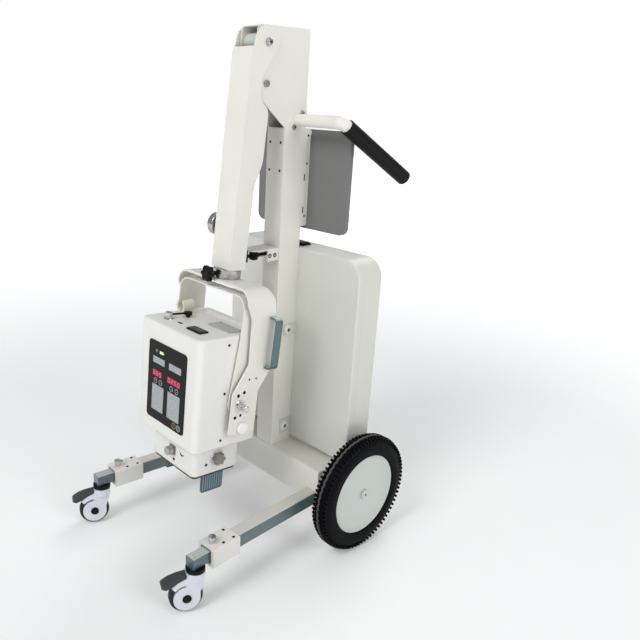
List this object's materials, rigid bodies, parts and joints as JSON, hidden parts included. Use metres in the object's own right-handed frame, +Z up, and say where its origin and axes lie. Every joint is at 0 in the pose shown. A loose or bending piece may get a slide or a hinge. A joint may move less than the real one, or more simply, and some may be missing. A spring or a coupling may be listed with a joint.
{
  "type": "portable x-ray machine",
  "caption": "Mobile x-ray stand: a swing arm and swivelling yoke carry a tilting x-ray head, on a wheeled base with telescopic legs, casters, a storage case and a folding tray.",
  "frame": {"origin": "on the floor, under the middle of the rear axle", "axes": "+X to the stand's right side as seen from behind it, +Y to the rear, +Z up; the head and the casters are at the front, towards -Y"},
  "size_m": [0.588, 0.6923, 1.2205],
  "materials": {
    "stand_paint": "satin warm white powder coat",
    "case_paint": "satin pale grey-white coat",
    "tray_paint": "satin mid grey coat",
    "leg_paint": "satin warm grey coat",
    "inner_tube": "brushed, blue-grey",
    "bright_steel": "brushed",
    "chrome": "polished",
    "tyre": "matt, ribbed tread",
    "caster_tread": "smooth",
    "grip_rubber": "soft, matt",
    "black_plastic": "fine grain",
    "wheel_plastic": "fine grain, off-white",
    "head_shell": "satin white",
    "panel_film": "black film with grey keys",
    "fork_plastic": "pale lavender white",
    "pedal_plastic": "dark grey",
    "cream_plastic": "cream",
    "blade_grey": "blue-grey, ribbed",
    "knob_grey": "grey-green"
  },
  "bodies": {
    "stand": {"axle": "bright_steel", "base_beam": "stand_paint", "mast": "stand_paint", "pivot_bolts": "bright_steel", "pivot_roller": "wheel_plastic", "legs": "leg_paint", "leg_blocks": "stand_paint", "leg_locks": "chrome", "case_pan": "case_paint", "case_tabs": "case_paint", "case_hinges": "bright_steel", "latch_keeper": "black_plastic", "tray_wall_arms": "stand_paint", "handle_tubes": "stand_paint", "grips": "grip_rubber", "latch_bracket": "stand_paint", "latch_screw": "black_plastic"},
    "wheel_right": {"tyre_right": "tyre", "wheel_disc_right": "wheel_plastic"},
    "wheel_left": {"tyre_left": "tyre", "wheel_disc_left": "wheel_plastic"},
    "leg_end_right": {"leg_stub_right": "inner_tube", "swivel_ring_right": "black_plastic"},
    "leg_end_left": {"leg_stub_left": "inner_tube", "swivel_ring_left": "black_plastic"},
    "caster_right": {"caster_fork_right": "fork_plastic", "caster_pedal_right": "pedal_plastic", "caster_pin_right": "black_plastic"},
    "caster_left": {"caster_fork_left": "fork_plastic", "caster_pedal_left": "pedal_plastic", "caster_pin_left": "black_plastic"},
    "caster_wheel_right": {"caster_wheel_right": "caster_tread"},
    "caster_wheel_left": {"caster_wheel_left": "caster_tread"},
    "arm": {"swing_arm": "stand_paint", "arm_side_knob": "bright_steel", "arm_catch": "black_plastic"},
    "yoke": {"yoke": "stand_paint", "yoke_grip": "inner_tube", "swivel_collar": "bright_steel", "clamp_knob": "black_plastic", "tilt_pins": "chrome", "yoke_knob": "wheel_plastic"},
    "bow": {"carrying_bow": "stand_paint"},
    "head": {"head_housing": "head_shell", "control_panel": "panel_film", "collimator": "head_shell", "base_plate": "black_plastic", "field_blades": "blade_grey", "collimator_knobs": "knob_grey", "top_connectors": "chrome", "top_lever": "black_plastic", "switch_clip": "cream_plastic", "head_inlet": "black_plastic", "service_plate": "tray_paint"},
    "tray": {"tray": "tray_paint", "tray_shelf_arms": "stand_paint"},
    "case_cover": {"case_cover": "case_paint", "cover_knuckles": "bright_steel", "case_latch": "black_plastic"}
  },
  "joints": [
    {"name": "wheel_turn_right", "type": "hinge", "parent": "stand", "child": "wheel_right", "pos_m": [0.272, 0, 0.15], "axis": [1, 0, 0], "continuous": true},
    {"name": "leg_slide_right", "type": "slide", "parent": "stand", "child": "leg_end_right", "axis": [0.0645, -0.9979, 0], "range_m": [0, 0.15]},
    {"name": "caster_swivel_right", "type": "hinge", "parent": "leg_end_right", "child": "caster_right", "pos_m": [0.20639, -0.45421, 0.1], "axis": [0, 0, 1], "continuous": true},
    {"name": "caster_roll_right", "type": "hinge", "parent": "caster_right", "child": "caster_wheel_right", "pos_m": [0.1978, -0.47446, 0.038], "axis": [0.9205, -0.3907, 0], "continuous": true},
    {"name": "wheel_turn_left", "type": "hinge", "parent": "stand", "child": "wheel_left", "pos_m": [-0.272, 0, 0.15], "axis": [1, 0, 0], "continuous": true},
    {"name": "leg_slide_left", "type": "slide", "parent": "stand", "child": "leg_end_left", "axis": [-0.0645, -0.9979, 0], "range_m": [0, 0.15]},
    {"name": "caster_swivel_left", "type": "hinge", "parent": "leg_end_left", "child": "caster_left", "pos_m": [-0.20639, -0.45421, 0.1], "axis": [0, 0, 1], "continuous": true},
    {"name": "caster_roll_left", "type": "hinge", "parent": "caster_left", "child": "caster_wheel_left", "pos_m": [-0.21499, -0.47446, 0.038], "axis": [0.9205, -0.3907, 0], "continuous": true},
    {"name": "arm_lift", "type": "hinge", "parent": "stand", "child": "arm", "pos_m": [0, -0.14, 1.186], "axis": [-1, 0, 0], "range_deg": [0, 100]},
    {"name": "yoke_swivel", "type": "hinge", "parent": "arm", "child": "yoke", "pos_m": [0, -0.21642, 0.67148], "axis": [0, 0.1097, 0.994], "range_deg": [-60, 43]},
    {"name": "head_tilt", "type": "hinge", "parent": "yoke", "child": "head", "pos_m": [0, -0.281, 0.412], "axis": [1, 0, 0], "range_deg": [-90, 36]},
    {"name": "bow_swing", "type": "hinge", "parent": "yoke", "child": "bow", "pos_m": [0, -0.281, 0.412], "axis": [1, 0, 0], "range_deg": [0, 110]},
    {"name": "tray_fold", "type": "hinge", "parent": "stand", "child": "tray", "pos_m": [0, 0.006, 1], "axis": [1, 0, 0], "range_deg": [0, 90]},
    {"name": "case_open", "type": "hinge", "parent": "stand", "child": "case_cover", "pos_m": [0, 0.01015, 0.2045], "axis": [-1, 0, 0], "range_deg": [0, 75]}
  ]
}
